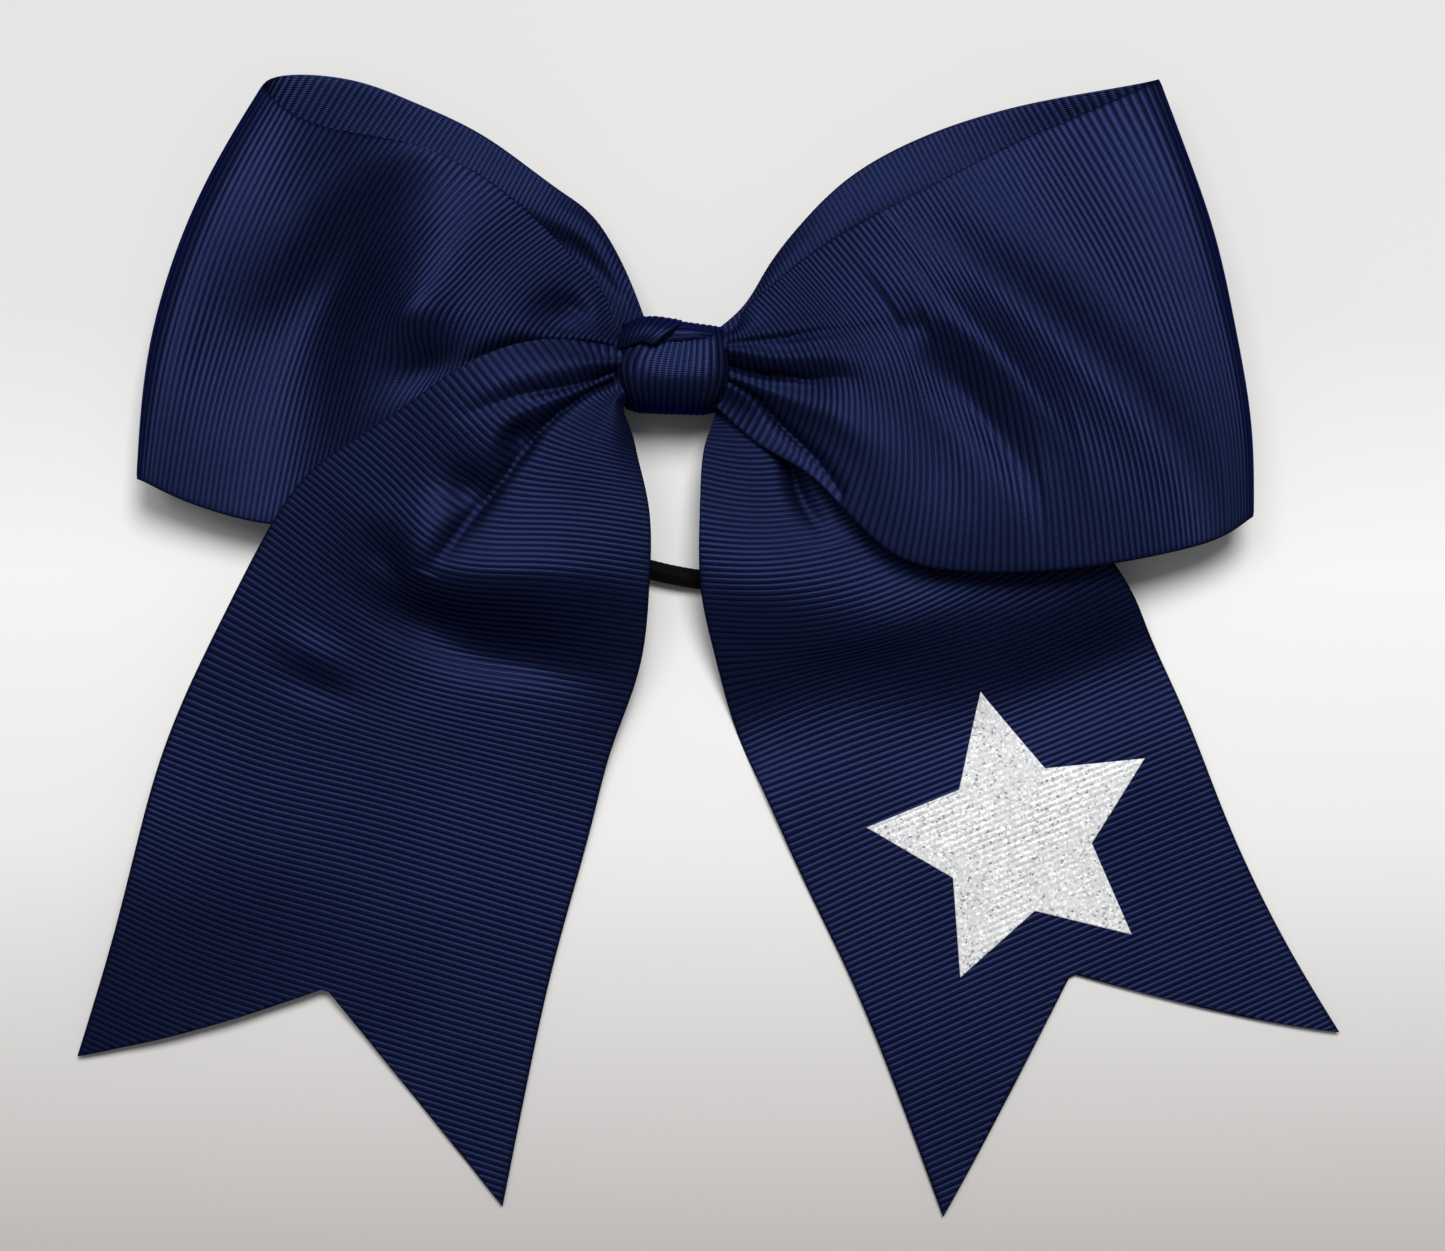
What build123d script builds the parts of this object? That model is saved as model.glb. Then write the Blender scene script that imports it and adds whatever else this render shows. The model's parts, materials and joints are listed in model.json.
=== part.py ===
from build123d import *
import math
import os

# Cheer hair bow lying on its back. Millimetres.
# +X runs along the bow's span, +Y points away from the tails, +Z comes out of the bow's front.
# The origin is the centre of the flat back face of the knot, which rests on the table plane Z = 0.

# --- ribbon and knot sizes ---
PLY = 0.7                       # thickness given to one layer of ribbon
KNOT_WIDTH = 17.5               # along X
KNOT_HEIGHT = 17.2              # along Y
KNOT_TOP = 16.6                 # height of the front band above the back face
BAND_PLY = 1.0                  # front band, doubled ribbon
BACK_PLY = 0.8                  # back wrap, lying against the hair
TWIST_PLY = 1.4                 # ply of the overhand knot that crosses the front band
SHOULDER = 6.0                  # corner radius of the knot seen from the side
GLUE_SIZE = (10, 3, 0.6)        # bead that holds the end of the back wrap
GLUE_Y = -5.6

# --- gathered centre ---
CENTRE_HALF_X = 9.0
CENTRE_HALF_Y = 6.0
CENTRE_LOW = 6.2
CENTRE_HIGH = 13.8
CENTRE_ROUND = 2.5
THREAD_PLY = 0.8
THREAD_HALF_X = 1.6

# --- hair elastic ---
ELASTIC_D = 3.5
TUNNEL_Z = 2.95                 # height of the stretch that the knot holds
RING_SLOPE = 1.1 / 37           # the ring falls from the tunnel to the table
ELASTIC_ROUTE = [                # round the ring from its join, which the knot hides
    (0.01, 0), (13, 0), (24, -5.5), (28.2, -17), (23.5, -30), (11.5, -37), (-2.5, -35),
    (-14.5, -30.8), (-23.2, -20.5), (-23.4, -8), (-13, 0), (-0.01, 0),
]

# --- vinyl decal, a plain star on the right tail ---
STAR_CENTRE = (59.2, -80.6)
STAR_RADIUS = 26.0
STAR_WAIST = 0.5                # inner radius over outer radius
STAR_TILT = 14.0                # degrees
STAR_PLY = 0.35
STAR_GAP = 0.03                 # film of adhesive under it

# --- swallowtail notches ---
LEFT_NOTCH = (-56.3, -104.5)
RIGHT_NOTCH = (70.5, -103.6)
NOTCH_OVERRUN = 1.1             # the cut runs on past the two tips

# --- stations: (first edge, second edge, crown) from the knot outwards ---
# A crown lifts the middle of the ribbon above the straight line between its two edges.
RIGHT_LOOP_FRONT = [
    ((9.2, 6.6, 11.6), (9.2, -7.2, 11.2), 0.6),
    ((15, 11.8, 13), (15.5, -13.2, 12), 3),
    ((24, 19, 15.5), (25.5, -20.5, 13.2), 4.5),
    ((38, 27, 17.8), (39, -32, 15), 5),
    ((55, 35.8, 17.6), (58, -35.5, 16.2), 5),
    ((70, 43, 15.5), (79, -32.8, 15.2), 4),
    ((79, 47.3, 13.2), (93, -28.4, 14), 2.5),
    ((82.2, 48.7, 11.7), (97.7, -25.5, 12.1), 0.8),
    ((82.5, 48.8, 10.5), (98.4, -25.3, 10.7), 0),
]
RIGHT_LOOP_BACK = [
    ((9.2, 6, 8.6), (9.2, -6.4, 9), 0),
    ((14.5, 14.5, 6), (16, -12, 9.6), -0.5),
    ((22, 25, 3.4), (26, -19, 9.4), 0),
    ((34, 36, 2), (40, -29.5, 9), 0),
    ((52, 43.4, 2.2), (58, -33, 8.2), -0.5),
    ((68, 47, 4.5), (79, -31.5, 7.6), -1.5),
    ((78.5, 48.7, 7.2), (92, -28, 7.8), -1.2),
    ((82.2, 48.9, 9), (97.7, -25.2, 9.1), -0.4),
    ((82.5, 48.8, 10.1), (98.4, -25.3, 10.3), 0),
]
LEFT_LOOP_FRONT = [
    ((-9.2, 6.6, 11), (-9.2, -6.2, 9.8), 0.2),
    ((-13, 14, 13), (-14, -10, 10.4), 1.2),
    ((-21.8, 23.1, 15.5), (-24, -16.5, 11.2), 2.4),
    ((-33, 31.5, 17.6), (-40, -24, 12), 4),
    ((-46.3, 36.7, 17.4), (-58, -26.8, 12.6), 4.5),
    ((-58, 40.5, 15.2), (-73, -26, 13), 4.5),
    ((-65.5, 45, 12.8), (-85, -21.8, 12.6), 3),
    ((-68.6, 47.3, 11.6), (-90.4, -19.5, 11.4), 1),
    ((-69.2, 47.8, 10.4), (-91, -19.2, 10.2), 0),
]
LEFT_LOOP_BACK = [
    ((-9.6, 6.4, 7.8), (-9.6, -5.8, 7.8), 0),
    ((-11.6, 19, 5.6), (-14, -9.5, 7.2), 0),
    ((-19, 30.2, 4), (-25, -15.5, 6.4), 0),
    ((-31, 39.5, 2.4), (-41, -23, 5.2), 0),
    ((-45, 46.2, 3), (-58, -26, 4.6), -0.5),
    ((-57, 49.6, 5.2), (-74, -25, 5.2), -1),
    ((-65, 50.1, 7.4), (-85.5, -21.6, 6.8), -0.8),
    ((-68.8, 48.9, 9), (-90.4, -19.2, 8.7), -0.3),
    ((-69.2, 47.9, 10), (-91, -19.1, 9.8), 0),
]
LEFT_TAIL = [
    ((-10, 2.6, 13.7), (-10, -6.6, 11.6), 0),
    ((-17, 3.4, 16.6), (-9.4, -11.5, 11.8), 0.4),
    ((-27, 2.8, 19.2), (-6.6, -17.5, 12.4), 0.6),
    ((-41, -4.8, 21.2), (-4.2, -25.5, 12.8), 0),
    ((-56, -14.6, 21.2), (-3.7, -33.5, 12), -1),
    ((-68.5, -26.5, 17.6), (-4.4, -41.5, 9.4), -1.5),
    ((-77, -43, 9.2), (-7, -51.5, 5), -1),
    ((-84.5, -58.5, 3.4), (-10.5, -64.5, 2.2), 0),
    ((-90.4, -77, 1.2), (-15.2, -82, 1), 0),
    ((-94.6, -96, 1), (-20.6, -102, 1), 0),
    ((-99.2, -108, 1.6), (-25.6, -124, 1), 0),
    ((-103, -118.3, 2.6), (-29.6, -144.3, 1), 0),
]
RIGHT_TAIL_ROOT = [
    ((9.3, -5, 6.8), (9.3, 3.6, 6.8), 0),
    ((9.3, -9.6, 7.8), (15, 1.2, 6), 0),
    ((6.4, -16, 9.6), (25, -3, 5.9), 0),
    ((4.8, -23, 10.6), (40, -10, 5.8), 0),
    ((4.7, -31.5, 10), (58, -20.5, 5.4), 0),
    ((5.4, -41.4, 8), (76.5, -36.2, 5.4), 0),
]
RIGHT_TAIL = [
    ((5.6, -42.5, 7.5), (77.1, -37.4, 5), 0),
    ((7, -49, 5), (82, -46.2, 3.4), 0),
    ((10.5, -59.5, 2.4), (86.3, -57, 1.9), 0),
    ((17.8, -78, 1), (93.5, -73.5, 1), 0),
    ((27, -97, 1), (100.5, -88, 1), 0),
    ((37, -121, 1), (108, -102, 1), 0),
    ((46.5, -146.1, 1), (115, -114.2, 1), 0),
]
ACROSS = 5                      # points from one edge of a ribbon to the other


def station_points(first, second, crown):
    """Points across the ribbon at one station."""
    points = []
    for step in range(ACROSS):
        v = step / (ACROSS - 1)
        point = Vector(*first) * (1 - v) + Vector(*second) * v
        points.append(point + Vector(0, 0, 4 * crown * v * (1 - v)))
    return points


def ribbon_normal(grid, i, j):
    """Unit normal of the grid of points at row i and column j."""
    along = grid[min(i + 1, len(grid) - 1)][j] - grid[max(i - 1, 0)][j]
    across = grid[i][min(j + 1, ACROSS - 1)] - grid[i][max(j - 1, 0)]
    return along.cross(across).normalized()


def offset_grid(grid, distance):
    """The grid of points moved along its own normals."""
    return [
        [point + ribbon_normal(grid, i, j) * distance for j, point in enumerate(row)]
        for i, row in enumerate(grid)
    ]


def ribbon(stations, low=-PLY / 2, high=PLY / 2):
    """Thin closed solid from low to high above the stations, measured along the normal."""
    grid = [station_points(*station) for station in stations]
    upper = Face.make_surface_from_array_of_points(offset_grid(grid, high))
    lower = Face.make_surface_from_array_of_points(offset_grid(grid, low))
    walls = []
    for edge in upper.edges():
        middle = edge @ 0.5
        partner = min(lower.edges(), key=lambda other: (other @ 0.5 - middle).length)
        walls.append(Face.make_surface_from_curves(edge, partner))
    return Solid(Shell([upper, lower, *walls]))


def notch(stations, apex):
    """Prism that takes a swallowtail out of the end of a tail."""
    apex = Vector(*apex)
    tips = [Vector(point[0], point[1]) for point in stations[-1][:2]]
    first, second = (apex + (tip - apex) * NOTCH_OVERRUN for tip in tips)
    out = (first + second) * 0.5 - apex
    outline = Polyline(apex, first, first + out, second + out, second, close=True)
    return Pos(0, 0, -10) * extrude(make_face(outline), 40)


def bar(half_y, low, high, radius, half_x):
    """Solid along X with a rounded rectangular section."""
    section = RectangleRounded(2 * half_y, high - low, radius)
    placed = Plane.YZ * Pos(0, (low + high) / 2) * section
    return extrude(placed, half_x, both=True)


def arch(grow=0.0):
    """Outline of the knot seen from the side, from the table up, as a solid along X."""
    half = KNOT_HEIGHT / 2 + grow
    high = KNOT_TOP + grow
    body = bar(half, -high, high, SHOULDER + grow, KNOT_WIDTH / 2)
    table = Pos(0, 0, -high) * Box(100, 100, 2 * high)
    return body - table


def knot_front_band():
    """Front and sides of the knot: an arch open below, where the back wrap closes it."""
    floor = Pos(0, 0, BACK_PLY / 2) * Box(100, 100, BACK_PLY)
    return arch() - arch(-BAND_PLY) - floor


def knot_twist():
    """Diagonal ply of the overhand knot over the upper left of the front band."""
    outline = Polyline((-9, 2.6), (-8.2, 12), (6.2, 12), (5.4, 7), (-1.6, 2.4), close=True)
    prism = extrude(make_face(outline), 30)
    low = Pos(0, 0, 5) * Box(100, 100, 10)
    return (arch(TWIST_PLY) - arch()) & (prism - low)


def elastic_path():
    """Route of the elastic from its join round to its join, on a plane that slopes to the table."""
    points = [Vector(x, y, TUNNEL_Z + RING_SLOPE * y) for x, y in ELASTIC_ROUTE]
    radii = []
    for before, corner, after in zip(points, points[1:], points[2:]):
        turn = (corner - before).get_angle(after - corner)
        run = min((corner - before).length, (after - corner).length)
        radii.append(0.45 * run / math.tan(math.radians(turn / 2)))
    return FilletPolyline(*points, radius=radii)


def hair_elastic():
    """Round elastic ring through the knot's tunnel."""
    path = elastic_path()
    section = Plane(origin=path @ 0, z_dir=path % 0) * Circle(ELASTIC_D / 2)
    return sweep(section, path)


def star_decal():
    """Plain five-pointed star that follows the face of the right tail."""
    points = []
    for step in range(10):
        angle = math.radians(90 + STAR_TILT + 36 * step)
        radius = STAR_RADIUS * (STAR_WAIST if step % 2 else 1)
        points.append((radius * math.cos(angle), radius * math.sin(angle)))
    prism = Pos(*STAR_CENTRE) * extrude(make_face(Polyline(*points, close=True)), 10)
    low = PLY / 2 + STAR_GAP
    return ribbon(RIGHT_TAIL, low, low + STAR_PLY) & prism


def make_parts():
    """Every named solid of the bow."""
    centre = bar(CENTRE_HALF_Y, CENTRE_LOW, CENTRE_HIGH, CENTRE_ROUND, CENTRE_HALF_X)
    thread = bar(CENTRE_HALF_Y + THREAD_PLY, CENTRE_LOW - THREAD_PLY, CENTRE_HIGH + THREAD_PLY,
                 CENTRE_ROUND + THREAD_PLY, THREAD_HALF_X) - centre
    back = Pos(0, 0, BACK_PLY / 2) * Box(KNOT_WIDTH, KNOT_HEIGHT, BACK_PLY)
    glue = Pos(0, GLUE_Y, BACK_PLY + GLUE_SIZE[2] / 2) * Box(*GLUE_SIZE)
    return {
        "left_loop_front": ribbon(LEFT_LOOP_FRONT),
        "left_loop_back": ribbon(LEFT_LOOP_BACK),
        "right_loop_front": ribbon(RIGHT_LOOP_FRONT),
        "right_loop_back": ribbon(RIGHT_LOOP_BACK),
        "left_tail": ribbon(LEFT_TAIL) - notch(LEFT_TAIL, LEFT_NOTCH),
        "right_tail_root": ribbon(RIGHT_TAIL_ROOT),
        "right_tail": ribbon(RIGHT_TAIL) - notch(RIGHT_TAIL, RIGHT_NOTCH),
        "vinyl_star": star_decal(),
        "gathered_centre": centre,
        "cinch_thread": thread,
        "knot_front_band": knot_front_band(),
        "knot_twist": knot_twist(),
        "knot_back_wrap": back,
        "knot_glue_seam": glue,
        "hair_elastic": hair_elastic(),
    }


os.makedirs("parts", exist_ok=True)
for name, shape in make_parts().items():
    export_step(shape, f"parts/{name}.step")
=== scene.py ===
import json
import math

import bpy
import numpy as np
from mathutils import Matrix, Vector
from mathutils.bvhtree import BVHTree

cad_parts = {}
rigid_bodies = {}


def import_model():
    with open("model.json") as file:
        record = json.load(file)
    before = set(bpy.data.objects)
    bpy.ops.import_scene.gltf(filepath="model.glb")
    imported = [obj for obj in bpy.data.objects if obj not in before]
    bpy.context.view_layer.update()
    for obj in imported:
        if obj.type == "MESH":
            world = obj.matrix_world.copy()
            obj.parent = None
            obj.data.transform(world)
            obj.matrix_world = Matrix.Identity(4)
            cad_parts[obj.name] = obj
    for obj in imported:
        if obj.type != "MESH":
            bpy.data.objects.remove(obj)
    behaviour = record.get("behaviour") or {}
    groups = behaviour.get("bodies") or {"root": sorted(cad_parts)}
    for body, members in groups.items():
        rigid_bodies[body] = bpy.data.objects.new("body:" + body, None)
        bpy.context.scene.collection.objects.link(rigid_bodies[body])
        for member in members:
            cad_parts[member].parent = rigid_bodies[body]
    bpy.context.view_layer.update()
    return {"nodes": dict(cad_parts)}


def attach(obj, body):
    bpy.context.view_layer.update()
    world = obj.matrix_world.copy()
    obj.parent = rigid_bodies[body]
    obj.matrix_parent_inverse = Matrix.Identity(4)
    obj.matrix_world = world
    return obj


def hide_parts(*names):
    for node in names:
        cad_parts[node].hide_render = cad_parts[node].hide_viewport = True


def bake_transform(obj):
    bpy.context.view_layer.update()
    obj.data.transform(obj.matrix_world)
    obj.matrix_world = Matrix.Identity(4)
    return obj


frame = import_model()
MM = 0.001

# ---------------------------------------------------------------- driving sizes, millimetres
RIBBON_WIDTH = 76.2
RIBBON_PLY = 0.42
RIB_PITCH = 1.05
RIB_HEIGHT = 0.18
ROWS_PER_RIB = 4
COLUMNS = 58
SELVAGE = 0.011                 # share of the width taken by each woven edge
LEFT_NOTCH = 27                 # depths of the tails' swallowtail cuts
RIGHT_NOTCH = 29

BAND_WIDTH = 38                 # the knot's stretches of ribbon, along their ribs
STRAND_WIDTH = 12
BACK_WIDTH = 18

ELASTIC_D = 3.5
TUNNEL_Z = 2.95                 # height of the stretch of elastic that the knot holds
RING_SLOPE = 1.1 / 37           # the ring falls from there to the table
ELASTIC_ROUTE = [
    (0.01, 0), (13, 0), (24, -5.5), (28.2, -17), (23.5, -30), (11.5, -37), (-2.5, -35),
    (-14.5, -30.8), (-23.2, -20.5), (-23.4, -8), (-13, 0), (-0.01, 0),
]

STAR_POINTS = 5
STAR_CENTRE = (59.2, -80.6)
STAR_RADIUS = 26.0
STAR_WAIST = 0.5                # inner radius as a share of the outer one
STAR_TILT = 14.0                # degrees

# ---------------------------------------------------------------- camera, floor and light, metres
CAMERA_PLACE = (0.0084, -0.0439, 0.48)
CAMERA_LENS = 69.09
FLOOR_SIZE = 8
FLOOR_PAINTED_SHADE_SPAN = 0.25               # the floor's painted light and shade run from this far below the origin to as far above it
# Painted light and shade on the floor: darker towards the bottom as a painted shadow, lightest just below the
# bow, and darker again towards the top.
FLOOR_PAINTED_LIGHT_AND_SHADE = [
    (0.19, (0.47, 0.445, 0.435)), (0.34, (0.755, 0.745, 0.73)), (0.43, (0.79, 0.785, 0.77)),
    (0.52, (0.66, 0.655, 0.645)), (0.7, (0.59, 0.585, 0.577)),
]
LIGHT_SIZE = 0.5
LIGHT_AIM = (0, -0.02, 0)
LIGHTS = [("key", (0.15, 0.5, 1.0), 12.3), ("side", (-0.35, 0.4, 1.0), 2.9)]
SKY_COLOUR = (0.95, 0.97, 1, 1)
SKY_STRENGTH = 0.22

# ---------------------------------------------------------------- rib lines, from the knot outwards
# Each row follows one rib of the ribbon from its first edge to its second edge.
RIGHT_LOOP = [
    [(4, 4.5, 12), (4, 3, 13), (4, 1, 12.5), (4, -1, 13), (4, -3, 12), (4, -4.5, 11.5)],
    [(9.3, 5.5, 13), (9.2, 3.1, 15), (9.2, 0.4, 13), (9.2, -2.6, 14), (8.3, -5, 12), (7.3, -7, 11)],
    [(12.2, 9.4, 13), (15.5, 5.3, 15.5), (17.7, 1.1, 14.5),
     (18.8, -3.3, 13.5), (18.1, -7.5, 12), (15.1, -13.6, 10)],
    [(17.2, 13.7, 14), (23.4, 6.4, 16.5), (26.7, 0.5, 16.5),
     (27.8, -6.1, 15.5), (26.8, -12.7, 14), (24, -19.3, 12)],
    [(22.8, 18.2, 15), (29.7, 9.6, 17.5), (34.7, 2, 18.5),
     (37.2, -6.3, 18), (38.1, -17.1, 17), (35.7, -30.9, 14)],
    [(31.2, 23.3, 17), (38.8, 12.7, 19), (44, 2.6, 20),
     (46.7, -6.5, 20), (48.4, -17.2, 19), (47.9, -34.8, 15)],
    [(43.8, 29.7, 18.8), (50.3, 19.2, 19.5), (55.2, 10, 19.6),
     (60.1, -0.8, 19.4), (64.4, -14.8, 18.4), (67.1, -34.4, 15.6)],
    [(57.9, 37, 17.2), (64.5, 26, 17.5), (70.7, 15.1, 17.4),
     (76.3, 2.6, 17), (81.8, -14.7, 15.4), (84.3, -31.5, 13.2)],
    [(72.4, 43.6, 14), (78.3, 32.3, 14.5), (84.1, 19.6, 14.6),
     (89, 5.4, 14.4), (93.2, -12.8, 13.6), (94.4, -28, 12.2)],
    [(80.4, 47.5, 11.8), (84.7, 36.4, 13.1), (89.6, 22, 13.5),
     (93.4, 7.2, 13.4), (96.6, -10.9, 12.8), (97.3, -26, 11.4)],
    [(82.3, 48.7, 9.8), (86.7, 36.8, 9.8), (91.6, 22.4, 9.8),
     (95.2, 6.2, 9.8), (97.9, -10.7, 9.8), (98.3, -25.3, 9.8)],
    [(79.5, 48.5, 7.2), (84.3, 37, 5.5), (89.3, 22, 5.2), (93.3, 6, 5.6), (96.4, -11, 6.6), (97, -25, 8)],
    [(70, 47.2, 5), (77, 35, 2.8), (84, 20, 2.4), (89, 5, 3.4), (92.5, -13, 5.4), (92.5, -27.5, 7.4)],
    [(55, 44.3, 3), (63, 30, 1.8), (71, 15, 2), (77, 1, 3.8), (81.5, -15, 6.2), (82.5, -30.5, 8.2)],
    [(41.4, 39.6, 2.2), (49.5, 24, 1.8), (56, 8, 3.2), (61.5, -6, 5.8), (65.5, -18, 7.8), (66.5, -31.5, 9)],
    [(30, 33, 2.5), (38.5, 17, 2.8), (44.5, 2, 5.4), (48.5, -9, 7.4), (49.5, -19, 8.9), (48.5, -29.5, 9.6)],
    [(21.7, 24.8, 3.5), (28, 12, 5), (32.5, 2, 7), (35.5, -8, 8.6), (35.5, -18, 9.6), (33.5, -25, 10)],
    [(16, 17.2, 4.6), (20, 8, 6.8), (23, 1, 8), (24, -6, 9), (24, -12, 9.5), (22, -16.5, 9.8)],
    [(11.6, 10.3, 6), (13, 5, 8), (13.5, 0, 8.8), (13.5, -3, 9), (13.5, -6, 9), (12.5, -9, 9)],
    [(4, 4, 8), (4, 2, 8.6), (4, 0, 8.8), (4, -1.5, 8.8), (4, -3, 8.8), (4, -4.5, 8.8)],
]
LEFT_LOOP = [
    [(-4, 4.5, 12), (-4, 3, 12.2), (-4, 1.5, 12), (-4, 0, 11.5), (-4, -2, 11)],
    [(-8.6, 5.4, 12), (-9.4, 4, 12.4), (-10, 2.6, 12.2), (-10.3, 1, 11.6), (-10.3, -0.6, 10.8)],
    [(-11.4, 11.4, 13), (-15.5, 7.7, 14.5), (-18.9, 4, 14.2), (-21, -1.7, 12.8), (-21.5, -7.5, 11)],
    [(-16.2, 17.6, 14.5), (-22.9, 11.8, 16.5), (-27.4, 6.3, 16.8), (-30.5, -2.8, 15), (-32, -12.6, 12)],
    [(-21.8, 23.1, 16), (-30.3, 15.6, 18.5), (-35.6, 8.5, 18.8), (-41.3, -4.6, 16.4), (-44.5, -19.4, 12.6)],
    [(-28, 28.4, 17.5), (-37.2, 19.3, 19.5), (-44.4, 8.5, 19), (-50.4, -6.2, 16), (-55.5, -24, 11.6)],
    [(-39.2, 34.7, 18.4), (-47.8, 23.7, 18.4), (-55.8, 10.4, 16.4),
     (-61.4, -6.2, 12.8), (-66.1, -26.8, 10.8)],
    [(-51.3, 37.9, 16.5), (-59.7, 25.5, 16.4), (-67, 10.6, 15.4), (-72.5, -6.1, 12.8), (-76, -25.1, 10.6)],
    [(-62.7, 41.6, 13.4), (-70.1, 27.5, 14), (-76.8, 10.7, 13.6), (-81.5, -6, 12.7), (-84.6, -22, 11)],
    [(-68.3, 46, 11.2), (-76.7, 30.8, 12.8), (-83.1, 15.6, 12.8), (-87.5, -0.8, 12.4), (-89.9, -19.4, 11.2)],
    [(-69.4, 47.8, 9.5), (-78, 33.4, 9.6), (-84.3, 19, 9.6), (-88.7, 2.8, 9.6), (-90.8, -19, 9.5)],
    [(-67, 49.8, 7), (-76.2, 33, 5.8), (-82.6, 18, 5.4), (-87, 2.5, 5.8), (-89.3, -18.8, 7.2)],
    [(-58, 50, 5.2), (-69, 32, 3), (-77.5, 14, 3), (-82.3, -3, 4.2), (-84.4, -21, 6)],
    [(-46, 46.6, 3.6), (-58, 29, 2.2), (-67, 10, 2.8), (-72, -6, 4.2), (-74.5, -23.5, 5.8)],
    [(-35.5, 42, 2.4), (-47, 24, 2.2), (-55.5, 6, 3.4), (-60, -8, 5), (-62.5, -24.5, 6)],
    [(-27, 36.5, 2.2), (-36.5, 18, 2.8), (-43.5, 3, 4.6), (-47, -9, 5.6), (-49.5, -21.5, 6.2)],
    [(-19, 30.5, 2.8), (-27, 14, 4), (-32, 1, 5.4), (-34.5, -8, 6), (-35.5, -16.5, 6.4)],
    [(-12.4, 24.4, 4.2), (-17, 12, 5.6), (-20, 2, 6.4), (-21.5, -5, 6.8), (-22.5, -11.5, 7)],
    [(-7.6, 15.5, 5.4), (-10, 8.5, 6.6), (-11.5, 2, 7.2), (-12, -2, 7.4), (-12.5, -6.5, 7.4)],
    [(-4, 6, 6.8), (-4, 4, 7.2), (-4, 1, 7.4), (-4, -1, 7.4), (-4, -3.5, 7.4)],
]
LEFT_TAIL = [
    [(-4, 3, 13.5), (-4, 1, 14.5), (-4, -1, 13.5), (-4, -3, 14), (-4, -5, 12.5)],
    [(-10, 3.1, 14), (-10, 0, 15.6), (-10, -2, 13), (-9.2, -4.6, 14), (-8.3, -6.8, 11.6)],
    [(-18.2, 3.9, 17), (-15.4, -0.9, 17.2), (-13.9, -4.7, 14.6), (-10.8, -7.4, 15), (-7.4, -10.2, 12)],
    [(-30.7, 1.2, 20), (-26.1, -4.7, 19.5), (-20.8, -9.8, 16), (-14.1, -12.9, 16.4), (-6, -15.1, 12.6)],
    [(-45.8, -8.2, 18), (-38.5, -15.1, 17.6), (-31.9, -20.7, 15.8),
     (-18.8, -22.9, 16.4), (-3.9, -24.8, 13.2)],
    [(-59.9, -17.3, 14.9), (-51.1, -25, 14.6), (-41.8, -33.2, 14.4), (-24, -35.9, 15), (-4, -38.2, 11.6)],
    [(-69.8, -30.4, 11.9), (-56.8, -39.6, 10.8), (-42.2, -47.2, 7.2), (-24.4, -50.5, 5), (-6.4, -53.4, 6)],
    [(-76.3, -42.5, 10.2), (-61.5, -50.5, 8.9), (-46.5, -57, 5.6), (-29, -61.5, 3), (-10.8, -65.5, 2.8)],
    [(-82.1, -54.1, 9.1), (-65.7, -60.8, 7.9), (-50.4, -65.6, 5), (-33.3, -70.5, 2.4), (-13.6, -75.9, 1.6)],
    [(-90.6, -78.2, 8), (-74.7, -84.8, 6.8), (-59.2, -89.4, 4.3), (-40.3, -95.2, 2), (-20.5, -101.2, 0.9)],
    [(-96, -97.6, 5.6), (-82, -104.2, 4.2), (-66.5, -109.6, 2.6), (-46.8, -115.8, 1.2), (-25.2, -122.2, 0.8)],
    [(-103, -118.3, 1.2), (-87.5, -125, 1), (-72, -130, 1), (-52, -136.8, 0.8), (-29.6, -144.3, 0.8)],
]
RIGHT_TAIL = [
    [(4, -4, 7.5), (4.5, -1, 7.2), (5, 1.5, 6.8), (5, 3, 6.6)],
    [(7, -7.2, 8.4), (11, -5, 7.8), (16, -2, 7), (20, 0, 6.4)],
    [(5.4, -13.3, 9.8), (12, -14.2, 9.4), (22, -12.4, 8), (32, -7.5, 6.4)],
    [(4.6, -22.7, 10.6), (13, -24, 10.2), (27, -22, 8.6), (44, -14, 6.4)],
    [(4.7, -37.6, 9.6), (15, -38, 10.8), (34, -34.5, 9.6), (62, -17, 6.6)],
    [(7, -48.8, 5), (20, -48.2, 6.2), (42, -43, 9), (70.5, -27, 8)],
    [(9.3, -57.6, 1.4), (29.8, -51.2, 3.8), (53.4, -44.6, 7.4), (75.4, -33.8, 8.4)],
    [(14.9, -71.4, 0.9), (35, -64, 0.9), (59.5, -55.3, 1), (82, -45.2, 1.6)],
    [(20.9, -84.7, 0.8), (43, -75.2, 1), (66, -66, 1), (87.4, -57, 0.9)],
    [(30.3, -104.4, 0.8), (52, -94.8, 0.8), (74.5, -85.2, 0.8), (95.2, -76.6, 0.9)],
    [(39.9, -128.1, 0.8), (61.5, -118.4, 0.9), (84, -108.5, 0.8), (106, -99.1, 0.8)],
    [(46.5, -146.1, 0.8), (69.3, -136, 0.9), (92.6, -125.3, 0.8), (115, -114.2, 1)],
]

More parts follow.
